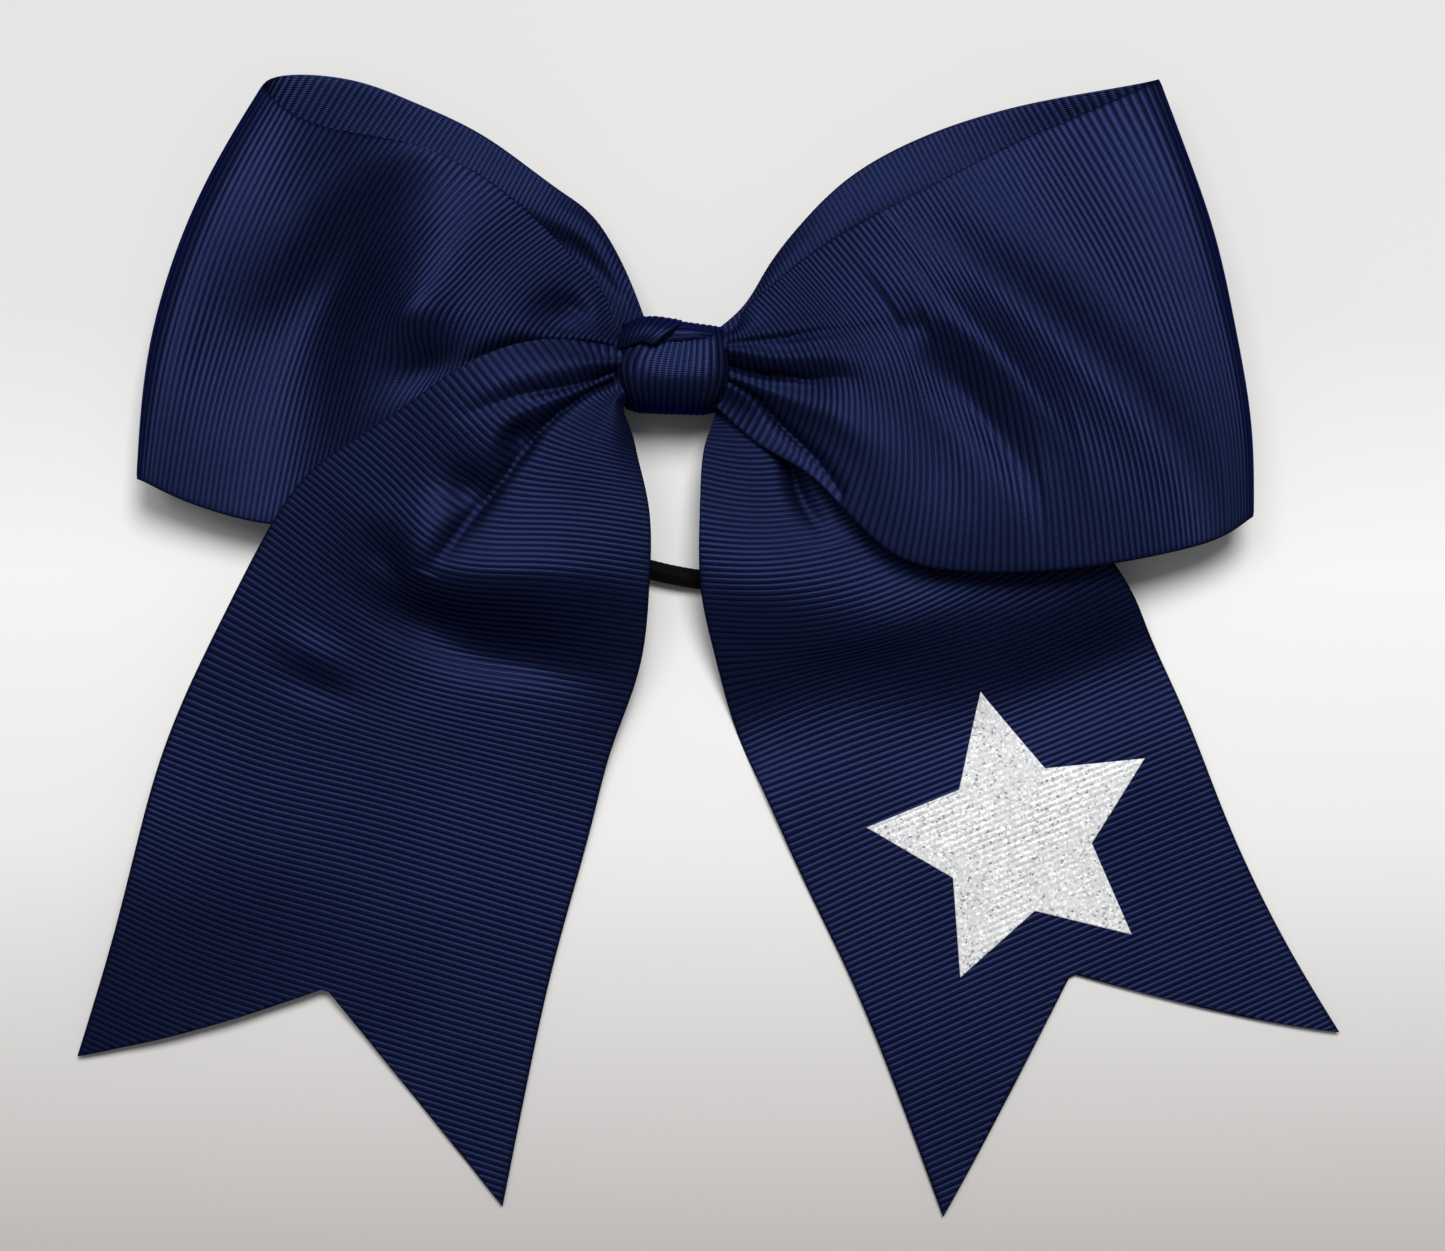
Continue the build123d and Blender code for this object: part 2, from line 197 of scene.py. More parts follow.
# The knot: each row runs from its upper back edge, over the front, to its lower back edge.
KNOT_BAND = [
    [(-7, 6.8, 2), (-7.2, 7, 9), (-7.2, 4.2, 12.6), (-7.8, 1, 12.6),
     (-7.8, -2, 12.4), (-7.2, -5.4, 11), (-7, -6.4, 7.5), (-7, -6.4, 2)],
    [(-8.2, 7, 2), (-8.4, 7.2, 9), (-7.4, 4.4, 14.2), (-9, 0.8, 14.4),
     (-8.9, -2, 14.4), (-7.9, -5.2, 12.6), (-7.7, -6.6, 8), (-7.6, -6.6, 2)],
    [(-7, 7.2, 2), (-7, 7.5, 9), (-5.6, 4.4, 15.4), (-7.7, 0.4, 15.8),
     (-7.7, -2.2, 15.7), (-6.8, -5.8, 13.4), (-6.6, -7.1, 8.5), (-6.4, -7, 2)],
    [(-5, 7.3, 2), (-5, 7.7, 9), (-3.2, 4.4, 16), (-5, 0.2, 16.9),
     (-5.3, -2.6, 16.6), (-5, -6, 14), (-4.9, -7.4, 8.5), (-4.8, -7.2, 2)],
    [(-2, 7.3, 2), (-2, 7.8, 9), (-0.6, 4.4, 16.3), (-1.8, 0, 17.2),
     (-2.2, -3, 17), (-2.4, -6.2, 14.2), (-2.4, -7.6, 8.5), (-2.3, -7.3, 2)],
    [(1.5, 7.3, 2), (1.5, 7.6, 9), (2.4, 4.3, 16.2), (1.9, 0, 17.1),
     (1.5, -3, 16.9), (1.2, -6.2, 14.2), (1.2, -7.7, 8.5), (1.2, -7.4, 2)],
    [(4.5, 7.1, 2), (4.5, 7.2, 9), (5.2, 4.3, 15.7), (5.2, 0, 16.7),
     (4.9, -3, 16.5), (4.5, -6.2, 14), (4.4, -7.8, 8.5), (4.4, -7.4, 2)],
    [(6.8, 6.8, 2), (6.8, 6.9, 9), (7.6, 4.3, 14.9), (7.9, 0.2, 15.7),
     (7.7, -2.6, 15.5), (6.6, -6, 13.4), (6.3, -7.5, 8.5), (6.2, -7.2, 2)],
    [(8, 6.4, 2), (8, 6.6, 9), (8.8, 4, 13.6), (9.2, 0.6, 14.2),
     (9, -2.2, 14), (7.9, -5.4, 12.2), (7.6, -6.8, 8), (7.4, -6.8, 2)],
    [(7, 6.2, 2), (7, 6.4, 8.6), (7.6, 3.6, 12.2), (8, 0.4, 12.4),
     (7.9, -2.2, 12.2), (7, -5, 11), (6.8, -6.2, 7.6), (6.6, -6.2, 2)],
]
# The strand that comes over the top of the knot, from its left end to its folded edge.
KNOT_TWIST = [
    [(-8.6, 1.8, 11.5), (-8.8, 3.4, 11.8), (-8.6, 5, 10.5), (-8, 6.2, 7)],
    [(-9.3, 2, 13.6), (-8.9, 4.2, 14.2), (-8.2, 6.2, 12.5), (-7.4, 7.4, 8)],
    [(-8, 2.6, 15.4), (-7.6, 4.6, 16.2), (-6.6, 6.6, 14.8), (-5.6, 8.2, 10)],
    [(-6.2, 3.2, 16.8), (-5.2, 5, 17.6), (-3.8, 7, 16.2), (-2.8, 8.2, 11)],
    [(-4.7, 3.4, 17.6), (-3.3, 4.8, 18.4), (-1.6, 6.4, 17.4), (-0.2, 7.8, 12)],
    [(-2.8, 2.9, 17.9), (-1.4, 4.1, 18.4), (0.2, 5.3, 17.8), (1.8, 7, 13.5)],
    [(-2.4, 3.1, 17.1), (-1, 4.2, 17.5), (0.5, 5.3, 16.9), (1.9, 6.6, 13.6)],
    [(-3.2, 3.7, 16.9), (-1.8, 4.8, 17), (-0.4, 5.8, 16.2), (0.8, 6.8, 13)],
]
# The strand under that fold, from the front of the knot to its back.
KNOT_UNDER = [
    [(-2.6, 3.3, 16.5), (1, 3.5, 16.7), (4.4, 3.9, 15.9), (7, 4.1, 14.6)],
    [(-2.6, 4.1, 17.1), (1, 4.4, 17.3), (4.4, 4.6, 16.5), (7, 4.5, 15)],
    [(-2.6, 5.4, 16.9), (1, 5.5, 16.9), (4.4, 5.4, 16), (7, 5, 14.8)],
    [(-2.6, 6.7, 15), (1, 6.6, 15), (4.5, 6, 14), (7, 5.4, 13.2)],
    [(-2.6, 7.5, 12), (1, 7.2, 12), (4.5, 6.6, 11), (7, 5.9, 10.5)],
    [(-2.6, 7.9, 8), (1, 7.6, 8), (4.5, 7.2, 8), (7, 6.4, 8)],
]
KNOT_BACK = [
    [(-7.6, 6.8, 2.4), (-3, 7.2, 2.4), (3, 7.2, 2.4), (7.6, 6.6, 2.4)],
    [(-8.2, 6.8, 1.1), (-3, 7.1, 1), (3, 7.1, 1), (8.2, 6.6, 1.1)],
    [(-8.6, 5.8, 0.6), (-3, 6, 0.55), (3, 6, 0.55), (8.6, 5.8, 0.6)],
    [(-8.7, 0, 0.55), (-3, 0, 0.55), (3, 0, 0.55), (8.7, 0, 0.55)],
    [(-8.6, -5.8, 0.6), (-3, -6, 0.55), (3, -6, 0.55), (8.6, -5.8, 0.6)],
    [(-8.2, -6.4, 1.1), (-3, -6.9, 1), (3, -6.9, 1), (8.2, -6.4, 1.1)],
    [(-7.6, -6.4, 2.4), (-3, -7, 2.4), (3, -7, 2.4), (7.6, -6.4, 2.4)],
]
# Places (y, z) of the pleats inside the knot, across the ribbon.
PLEATS = [
    (-5.4, 7), (0, 7.2), (5.4, 7.9), (5.4, 8.7), (0, 9), (-5.4, 9.3),
    (-5.4, 10), (0, 10.3), (5.4, 10.7), (5.4, 11.5), (0, 11.8), (-5.4, 12.2),
]


# ---------------------------------------------------------------- curves and folds
SAMPLES = 600                   # rows of the fine grid that lengths are measured on


def spline(knots, values, at):
    """Natural cubic spline through values (rows) at the knots, read at the given places."""
    knots, values = np.asarray(knots, float), np.asarray(values, float)
    n = len(knots)
    step = np.diff(knots)
    slope = np.diff(values, axis=0) / step[:, None]
    system, right = np.eye(n), np.zeros_like(values)
    for i in range(1, n - 1):
        system[i, i - 1:i + 2] = step[i - 1], 2 * (step[i - 1] + step[i]), step[i]
        right[i] = 6 * (slope[i] - slope[i - 1])
    second = np.linalg.solve(system, right)
    i = np.clip(np.searchsorted(knots, at) - 1, 0, n - 2)
    a = ((knots[i + 1] - at) / step[i])[:, None]
    b = 1 - a
    bend = ((a ** 3 - a) * second[i] + (b ** 3 - b) * second[i + 1]) * (step[i] ** 2)[:, None] / 6
    return a * values[i] + b * values[i + 1] + bend


def chord(points):
    """Distance along a row of points, from 0."""
    return np.concatenate([[0], np.cumsum(np.linalg.norm(np.diff(points, axis=0), axis=1))])


def across_places(columns):
    """Places across the ribbon, 0 to 1, with extra ones for the two selvages."""
    edge = np.array([0, 0.35, 0.7, 1.0]) * SELVAGE
    middle = np.linspace(SELVAGE, 1 - SELVAGE, columns)[1:-1]
    return np.concatenate([edge, middle, 1 - edge[::-1]])


def surface(lines, v):
    """Grid of points on the ribbon, rows a quarter of a rib apart and columns at v.

    Also gives the length along the ribbon at each row, and each row's place among the rib lines, where
    1.5 is halfway from line 1 to line 2.
    """
    across = []
    for line in lines:
        line = np.array(line, float)
        places = chord(line)
        across.append(spline(places / places[-1], line, v))
    across = np.array(across)
    knots = chord(across[:, len(v) // 2])
    dense = np.linspace(0, knots[-1], SAMPLES)
    flat = across.reshape(len(lines), -1)
    grid = spline(knots, flat, dense).reshape(len(dense), len(v), 3)
    picks = np.linspace(0, len(v) - 1, 9).astype(int)
    length = np.mean([chord(grid[:, j]) for j in picks], axis=0)
    ribs = int(round(length[-1] / RIB_PITCH))
    s = np.linspace(0, length[-1], ribs * ROWS_PER_RIB + 1)
    at = np.interp(s, length, dense)
    return spline(knots, flat, at).reshape(len(at), len(v), 3), s, np.interp(at, knots, range(len(lines)))


def along(table, place):
    """A smooth value along the ribbon from (line, value) pairs."""
    lines, values = zip(*table)
    inner = np.clip(place, lines[0], lines[-1])
    return spline(lines, np.array(values, float)[:, None], inner)[:, 0]


def crease(grid, line, v, path, depth, width, sharp=True, drag=0.0):
    """Raises (or, below 0, presses in) a fold that runs along the ribbon, pinched if sharp and else rounded.

    path, depth and width are (line, value) pairs.
    """
    inside = (line >= path[0][0]) & (line <= path[-1][0])
    x = (v[None, :] - along(path, line)[:, None]) / np.maximum(along(width, line), 0.01)[:, None]
    shape = np.exp(-1.6 * (np.sqrt(x * x + 0.03) - 0.17)) if sharp else np.exp(-x * x)
    shape *= (along(depth, line) * inside)[:, None]
    return push(grid, shape, drag)


def dent(grid, line, v, centre, size, height, drag=0.0):
    """Raises (or, below 0, presses in) a rounded patch. centre and size are (line, place across)."""
    y = (v[None, :] - centre[1]) / size[1]
    x = (line[:, None] - centre[0]) / size[0]
    return push(grid, height * np.exp(-x * x - y * y), drag)


def push(grid, shape, drag):
    """Moves the grid up by shape, and along the ribbon by drag times shape."""
    direction = np.gradient(grid, axis=0)
    direction /= np.linalg.norm(direction, axis=2, keepdims=True)
    up = np.array([0, 0, 1.0])
    return grid + shape[:, :, None] * (up + drag * direction)


def normals(grid):
    """Unit normals of a grid of points."""
    n = np.cross(np.gradient(grid, axis=0), np.gradient(grid, axis=1))
    return n / np.maximum(np.linalg.norm(n, axis=2, keepdims=True), 1e-12)


def rib_profile(rows, v):
    """Height of the ribs at each grid point, from 0 in a groove to 1 on a crest."""
    phase = np.arange(rows) / ROWS_PER_RIB
    crest = np.abs(np.sin(np.pi * phase)) ** 0.8
    edge = np.clip(np.minimum(v, 1 - v) / SELVAGE, 0, 1)
    return crest[:, None] * (0.35 + 0.65 * edge)[None, :]


# ---------------------------------------------------------------- meshes
def mesh_object(name, points, faces, uv=None, crest=None):
    """Smooth-shaded object from points in millimetres."""
    mesh = bpy.data.meshes.new(name)
    mesh.from_pydata((np.asarray(points) * MM).tolist(), [], faces)
    mesh.polygons.foreach_set("use_smooth", [True] * len(mesh.polygons))
    if uv is not None:
        layer = mesh.uv_layers.new(name="cloth")
        loops = np.zeros(len(mesh.loops), int)
        mesh.loops.foreach_get("vertex_index", loops)
        layer.data.foreach_set("uv", np.asarray(uv)[loops].ravel())
    if crest is not None:
        attribute = mesh.attributes.new("crest", "FLOAT", "POINT")
        attribute.data.foreach_set("value", np.asarray(crest, np.float32))
    mesh.validate()
    thing = bpy.data.objects.new(name, mesh)
    bpy.context.scene.collection.objects.link(thing)
    return thing


def ribbon_piece(name, lines, folds=(), notch=None, width=RIBBON_WIDTH, columns=COLUMNS):
    """Ribbed ribbon of real thickness along the rib lines.

    notch is the depth of a swallowtail cut at the far end.
    """
    v = across_places(columns)
    grid, s, line = surface(lines, v)
    for one in folds:
        grid = (crease if "path" in one else dent)(grid, line, v, **one)
    n = normals(grid)
    # The rib height also sets the painted groove shade in the navy material.
    crest = rib_profile(len(s), v)
    half = RIBBON_PLY / 2 + RIB_HEIGHT * (crest - 1)
    upper, lower = grid + n * half[:, :, None], grid - n * half[:, :, None]
    ends = np.full(len(v), s[-1])
    if notch:
        ends = s[-1] - notch * (1 - np.abs(2 * v - 1))
    return sheet_mesh(name, upper, lower, s, v, crest, ends, width)


def sheet_mesh(name, upper, lower, s, v, crest, ends, width):
    """Closes an upper and a lower grid into one thin solid that stops at ends along each column."""
    points, uv, height, ladders = [], [], [], []
    for side in (upper, lower):
        columns = []
        for j, end in enumerate(ends):
            last = int(np.searchsorted(s, end - 1e-6))
            column = list(range(len(points), len(points) + last + 1))
            share = (end - s[last - 1]) / (s[last] - s[last - 1])
            tip = side[last - 1, j] * (1 - share) + side[last, j] * share
            points.extend(side[:last, j])
            points.append(tip)
            uv.extend((x, v[j] * width) for x in [*s[:last], end])
            height.extend([*crest[:last, j], crest[last, j]])
            columns.append(column)
        ladders.append(columns)
    faces = []
    for k, columns in enumerate(ladders):
        for a, b in zip(columns, columns[1:]):
            faces += rungs(a, b, k == 1)
    top, bottom = ladders
    rims = [(top[0], bottom[0]), (bottom[-1], top[-1])]
    rims.append(([c[-1] for c in top], [c[-1] for c in bottom]))
    rims.append(([c[0] for c in bottom], [c[0] for c in top]))
    for a, b in rims:
        faces += [(a[i], a[i + 1], b[i + 1], b[i]) for i in range(len(a) - 1)]
    return mesh_object(name, points, faces, uv, height)


def rungs(a, b, flip):
    """Faces between two neighbouring columns, which may differ in length."""
    shared = min(len(a), len(b)) - 1
    faces = [(a[i], b[i], b[i + 1], a[i + 1]) for i in range(shared - 1)]
    faces.append((a[shared - 1], b[shared - 1], b[shared], a[shared]))
    longer, other = (a, b[shared]) if len(a) > len(b) else (b, a[shared])
    for i in range(shared, len(longer) - 1):
        tri = (longer[i], other, longer[i + 1])
        faces.append(tri if longer is a else tri[::-1])
    return [face[::-1] for face in faces] if flip else faces


# ---------------------------------------------------------------- materials
def nodes_of(name):
    """A new material with its node tree and its shader node."""
    material = bpy.data.materials.new(name)
    material.use_nodes = True
    tree = material.node_tree
    return material, tree, tree.nodes["Principled BSDF"]


def noise(tree, scale, coordinates):
    """Noise node over the object's own coordinates."""
    node = tree.nodes.new("ShaderNodeTexNoise")
    node.inputs["Scale"].default_value = scale
    node.inputs["Detail"].default_value = 4
    tree.links.new(coordinates.outputs["Object"], node.inputs["Vector"])
    return node


def ramp(tree, source, stops):
    """Colour ramp node fed by source, with (place, colour) stops."""
    node = tree.nodes.new("ShaderNodeValToRGB")
    tree.links.new(source, node.inputs["Fac"])
    while len(node.color_ramp.elements) < len(stops):
        node.color_ramp.elements.new(0.5)
    for element, (place, colour) in zip(node.color_ramp.elements, stops):
        element.position, element.color = place, (*colour, 1)
    return node


def multiplied(tree, base, tint, share):
    """The base colour multiplied by the tint to the given share."""
    node = tree.nodes.new("ShaderNodeMix")
    node.data_type, node.blend_type = "RGBA", "MULTIPLY"
    node.inputs["Factor"].default_value = share
    tree.links.new(base, node.inputs["A"])
    tree.links.new(tint.outputs["Color"], node.inputs["B"])
    return node.outputs["Result"]


def roughen(tree, shader, height, strength, distance=0.0001):
    """Bump on the shader, distance in metres."""
    node = tree.nodes.new("ShaderNodeBump")
    node.inputs["Strength"].default_value = strength
    node.inputs["Distance"].default_value = distance
    tree.links.new(height, node.inputs["Height"])
    tree.links.new(node.outputs["Normal"], shader.inputs["Normal"])


def grosgrain():
    """Navy ribbon: painted shade makes the grooves darker than the crests; fine threads along the length."""
    material, tree, shader = nodes_of("navy_grosgrain")
    new, link = tree.nodes.new, tree.links.new
    uv = new("ShaderNodeUVMap")
    uv.uv_map = "cloth"
    crest = new("ShaderNodeAttribute")
    crest.attribute_name = "crest"
    coordinates = new("ShaderNodeTexCoord")
    threads = new("ShaderNodeTexWave")
    threads.bands_direction = "Y"
    threads.inputs["Scale"].default_value = 0.9
    threads.inputs["Distortion"].default_value = 1.2
    threads.inputs["Detail"].default_value = 2
    link(uv.outputs["UV"], threads.inputs["Vector"])
    patches = noise(tree, 60, coordinates)
    # Painted shade: the base colour runs from dark in the rib grooves to light on the crests, by the crest
    # attribute.
    colour = ramp(tree, crest.outputs["Fac"], [
        (0.0, (0.0028, 0.0042, 0.016)), (0.5, (0.0085, 0.0125, 0.044)), (1.0, (0.0125, 0.0185, 0.062))])
    weave = ramp(tree, threads.outputs["Fac"], [(0.2, (0.55, 0.55, 0.6)), (0.8, (1.25, 1.25, 1.2))])
    wear = ramp(tree, patches.outputs["Fac"], [(0.3, (0.75, 0.75, 0.78)), (0.7, (1.2, 1.2, 1.2))])
    tinted = multiplied(tree, colour.outputs["Color"], weave, 0.35)
    link(multiplied(tree, tinted, wear, 0.3), shader.inputs["Base Color"])
    roughen(tree, shader, threads.outputs["Fac"], 0.35, 0.00008)
    shader.inputs["Roughness"].default_value = 0.42
    shader.inputs["Metallic"].default_value = 0.75
    shader.inputs["Specular IOR Level"].default_value = 0.0
    shader.inputs["Specular Tint"].default_value = (0.12, 0.16, 0.5, 1)
    return material


def glitter_vinyl():
    """White film full of fine glitter flakes."""
    material, tree, shader = nodes_of("white_glitter_vinyl")
    new, link = tree.nodes.new, tree.links.new
    coordinates = new("ShaderNodeTexCoord")
    flakes = new("ShaderNodeTexVoronoi")
    flakes.inputs["Scale"].default_value = 2600
    link(coordinates.outputs["Object"], flakes.inputs["Vector"])
    split = new("ShaderNodeSeparateColor")
    link(flakes.outputs["Color"], split.inputs["Color"])
    colour = ramp(tree, split.outputs["Red"], [
        (0.0, (0.2, 0.2, 0.22)), (0.1, (0.54, 0.54, 0.55)),
        (0.7, (0.66, 0.66, 0.66)), (1.0, (0.9, 0.9, 0.9))])
    link(colour.outputs["Color"], shader.inputs["Base Color"])
    rough = ramp(tree, split.outputs["Green"], [(0.0, (0.15, 0.15, 0.15)), (1.0, (0.6, 0.6, 0.6))])
    link(rough.outputs["Color"], shader.inputs["Roughness"])
    roughen(tree, shader, split.outputs["Blue"], 0.5)
    return material


def plain(name, low, high, roughness, scale=400.0, shine=0.3):
    """Two-tone mottled material for small parts."""
    material, tree, shader = nodes_of(name)
    coordinates = tree.nodes.new("ShaderNodeTexCoord")
    spots = noise(tree, scale, coordinates)
    colour = ramp(tree, spots.outputs["Fac"], [(0.35, low), (0.65, high)])
    tree.links.new(colour.outputs["Color"], shader.inputs["Base Color"])
    roughen(tree, shader, spots.outputs["Fac"], 0.4)
    shader.inputs["Roughness"].default_value = roughness
    shader.inputs["Specular IOR Level"].default_value = shine
    return material


def paint(thing, material):
    """Gives a thing this one material."""
    thing.data.materials.clear()
    thing.data.materials.append(material)


# ---------------------------------------------------------------- camera, floor and light
def camera():
    """Looks straight down from the height at which the bow was seen."""
    data = bpy.data.cameras.new("camera")
    data.lens, data.sensor_width = CAMERA_LENS, 36
    data.clip_start, data.clip_end = 0.01, 10
    thing = bpy.data.objects.new("camera", data)
    bpy.context.scene.collection.objects.link(thing)
    thing.location = CAMERA_PLACE
    bpy.context.scene.camera = thing


def area_light(name, place, power):
    """Round soft light aimed at the bow."""
    data = bpy.data.lights.new(name, "AREA")
    data.shape, data.size, data.energy = "DISK", LIGHT_SIZE, power
    thing = bpy.data.objects.new(name, data)
    thing.location = place
    thing.rotation_euler = (Vector(LIGHT_AIM) - Vector(place)).to_track_quat("-Z", "Y").to_euler()
    bpy.context.scene.collection.objects.link(thing)


def studio():
    """Pale floor with painted light and shade in its colour, and soft light."""
    bpy.ops.mesh.primitive_plane_add(size=FLOOR_SIZE, location=(0, 0, 0))
    floor = bpy.context.object
    floor.name = "floor"
    material, tree, shader = nodes_of("pale_floor_painted_light_and_shade")
    coordinates = tree.nodes.new("ShaderNodeTexCoord")
    axes = tree.nodes.new("ShaderNodeSeparateXYZ")
    tree.links.new(coordinates.outputs["Object"], axes.inputs["Vector"])
    across = tree.nodes.new("ShaderNodeMapRange")
    across.inputs["From Min"].default_value = -FLOOR_PAINTED_SHADE_SPAN
    across.inputs["From Max"].default_value = FLOOR_PAINTED_SHADE_SPAN
    tree.links.new(axes.outputs["Y"], across.inputs["Value"])
    # The floor's colour holds painted light and shade along Y.
    colour = ramp(tree, across.outputs["Result"], FLOOR_PAINTED_LIGHT_AND_SHADE)
    tree.links.new(colour.outputs["Color"], shader.inputs["Base Color"])
    shader.inputs["Roughness"].default_value = 0.85
    paint(floor, material)
    world = bpy.data.worlds.new("studio")
    world.use_nodes = True
    sky = world.node_tree.nodes["Background"]
    sky.inputs["Color"].default_value = SKY_COLOUR
    sky.inputs["Strength"].default_value = SKY_STRENGTH
    bpy.context.scene.world = world
    for name, place, power in LIGHTS:
        area_light(name, place, power)


# ---------------------------------------------------------------- the bow
# The folds of each piece. Lines count from the knot, and places across run from 0 at the first edge to 1.
def along_path(path, depth, width, sharp=True, drag=0.0):
    """Settings of a crease."""
    return {"path": path, "depth": depth, "width": width, "sharp": sharp, "drag": drag}


def patch(centre, size, height, drag=0.0):
    """Settings of a dent."""
    return {"centre": centre, "size": size, "height": height, "drag": drag}


RIGHT_LOOP_FOLDS = [
    along_path([(1, 0.16), (1.5, 0.22), (2, 0.275), (3, 0.31), (4, 0.305), (5, 0.33)],
               [(1, -0.8), (2, -1.1), (4, -0.8), (5, -0.5)], [(1, 0.04), (5, 0.04)]),
    along_path([(1, 0.45), (1.5, 0.5), (2, 0.515), (2.5, 0.54), (3, 0.52), (3.5, 0.5)],
               [(1, -1.6), (1.5, -2.6), (2, -2.4), (2.6, -1.4), (3.5, 0)],
               [(1, 0.04), (2, 0.035), (3.5, 0.06)]),
    along_path([(1, 0.63), (1.5, 0.7), (2, 0.8), (2.5, 0.875), (3, 0.93), (3.4, 0.97)],
               [(1, -1.5), (2, -2), (3, -1.6), (3.4, -0.6)], [(1, 0.035), (3.4, 0.035)]),
    along_path([(1, 0.3), (2, 0.4), (3, 0.41), (4, 0.4)], [(1, 0.6), (2, 1.2), (3, 0.8), (4, 0)],
               [(1, 0.07), (4, 0.08)], sharp=False),
    along_path([(1, 0.55), (2, 0.65), (3, 0.7), (4, 0.72)], [(1, 0.6), (2, 1), (3, 0.7), (4, 0)],
               [(1, 0.07), (4, 0.09)], sharp=False),
    along_path([(4.6, 0.24), (5, 0.27), (5.3, 0.33), (5.6, 0.43), (5.9, 0.56), (6.2, 0.7)],
               [(4.6, 0.3), (5, 0.9), (5.3, 1.5), (5.6, 1.6), (5.9, 1.1), (6.2, 0.2)],
               [(4.6, 0.09), (6.2, 0.11)], sharp=False),
    along_path([(4.4, 0.41), (4.9, 0.47), (5.2, 0.53), (5.5, 0.65), (5.8, 0.78)],
               [(4.4, -0.3), (4.9, -2), (5.2, -2.6), (5.5, -2), (5.8, -0.3)], [(4.4, 0.1), (5.8, 0.12)],
               sharp=False, drag=0.3),
    patch((4.8, 0.68), (0.6, 0.18), -1.6),
    along_path([(13.4, 0.1), (15, 0.09), (16.6, 0.08), (18, 0.1)],
               [(13.4, 0), (15, 1.6), (16.6, 1.8), (18, 0)], [(13.4, 0.06), (18, 0.07)], sharp=False),
    along_path([(5.3, 0.1), (5.8, 0.24), (6.3, 0.42), (6.8, 0.6), (7.3, 0.78), (7.9, 0.97)],
               [(5.3, -0.4), (5.8, -2), (6.3, -3.6), (6.8, -3.2), (7.3, -1.8), (7.9, -0.2)],
               [(5.3, 0.14), (6.3, 0.19), (7.9, 0.17)], sharp=False),
]
LEFT_LOOP_FOLDS = [
    along_path([(1, 0.42), (1.6, 0.47), (2, 0.52), (2.6, 0.55), (3.1, 0.585), (3.6, 0.62)],
               [(1, -1.2), (2, -1.8), (3, -1.4), (3.6, 0)], [(1, 0.05), (3.6, 0.06)]),
    patch((2.3, 0.25), (0.5, 0.12), -2.4),
    along_path([(14, 0.1), (15.5, 0.09), (17, 0.08), (18.4, 0.1)], [(14, 0), (15.5, 1.6), (17, 2), (18.4, 0)],
               [(14, 0.06), (18.4, 0.07)], sharp=False),
    patch((6.5, 0.0), (0.8, 0.16), 2.6),
    patch((6.4, 0.36), (0.75, 0.2), -6.2),
    patch((7.0, 0.56), (1.1, 0.18), -3.6),
    patch((6.3, 0.8), (1.2, 0.25), -1.2),
    patch((4.9, 0.3), (0.6, 0.25), 1.2),
    patch((4.6, 0.43), (0.6, 0.09), 1.6, drag=1.2),
    patch((4.4, 0.61), (0.6, 0.08), -1.8, drag=1.2),
]
LEFT_TAIL_FOLDS = [
    along_path([(1, 0.42), (1.6, 0.43), (2.1, 0.41), (2.6, 0.34), (3.1, 0.25), (3.7, 0.15)],
               [(1, -1.5), (1.6, -2), (2.1, -1.8), (3.1, -1.2), (3.7, 0)], [(1, 0.06), (3.7, 0.08)]),
    along_path([(1, 0.58), (2, 0.52), (3, 0.485), (3.5, 0.465), (4, 0.44), (4.5, 0.425), (4.85, 0.42),
                (5.1, 0.41)],
               [(1, -1.5), (2, -2), (3.5, -1.9), (4.5, -1.8), (5.1, -0.5)],
               [(1, 0.05), (3, 0.035), (5.1, 0.035)]),
    along_path([(1, 0.5), (2, 0.465), (3, 0.38), (4, 0.34), (5, 0.35), (5.3, 0.36)],
               [(1, 0.8), (2, 1.2), (3, 1.3), (4, 1), (5, 1.4), (5.3, 0)],
               [(1, 0.07), (5.3, 0.07)], sharp=False),
    patch((3.35, 0.41), (0.2, 0.055), -2.4, drag=0.4),
    patch((4.15, 0.355), (0.26, 0.075), -2.6, drag=0.4),
    patch((5.2, 0.29), (0.25, 0.06), -1.6),
    patch((5.05, 0.6), (0.35, 0.3), 1.8),
    patch((5.7, 0.45), (0.3, 0.14), -2.6),
    patch((5.95, 0.66), (0.35, 0.2), -2.4),
    patch((6.85, 0.24), (0.25, 0.08), 0.8),
    patch((7.3, 0.27), (0.25, 0.08), -0.6),
]
RIGHT_TAIL_FOLDS = [
    along_path([(1, 0.6), (2, 0.5), (3, 0.43), (3.6, 0.42)], [(1, -1), (2, -2.5), (3, -2.5), (3.6, 0)],
               [(1, 0.06), (3.6, 0.07)]),
]


def elastic_route():
    """Points of the elastic's centreline, from one side of the knot round to the other."""
    data = bpy.data.curves.new("route", "CURVE")
    data.dimensions = "3D"
    line = data.splines.new("NURBS")
    line.points.add(len(ELASTIC_ROUTE) - 1)
    for point, (x, y) in zip(line.points, ELASTIC_ROUTE):
        point.co = (x, y, TUNNEL_Z + RING_SLOPE * y, 1)
    line.order_u, line.use_endpoint_u = 3, True
    data.resolution_u = 40
    thing = bpy.data.objects.new("route", data)
    mesh = bpy.data.meshes.new_from_object(thing)
    points = np.array([vertex.co for vertex in mesh.vertices])
    for leftover, kind in ((thing, bpy.data.objects), (mesh, bpy.data.meshes), (data, bpy.data.curves)):
        kind.remove(leftover)
    return points


